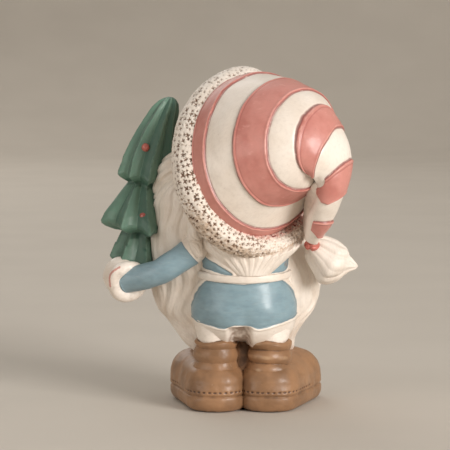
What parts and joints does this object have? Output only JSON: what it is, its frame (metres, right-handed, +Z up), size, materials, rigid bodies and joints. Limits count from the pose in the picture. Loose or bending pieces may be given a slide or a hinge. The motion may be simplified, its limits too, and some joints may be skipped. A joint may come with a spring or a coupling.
{
  "type": "dwarf figurine",
  "caption": "Small cast dwarf figure in a striped stocking hat with knitted brim, long beard, belted coat and boots, holding a tiered tree.",
  "frame": {"origin": "on the ground, under the middle of the figure's bounding box", "axes": "+Z up, +Y the way the dwarf's body faces, +X to its own right"},
  "size_m": [0.0774, 0.0612, 0.1023],
  "materials": {
    "painted_resin": "hand-painted satin acrylic over cast resin: ivory, dusty pink, blue, green and brown"
  },
  "bodies": {
    "root": {"dwarf_figurine": "painted_resin"}
  },
  "joints": []
}
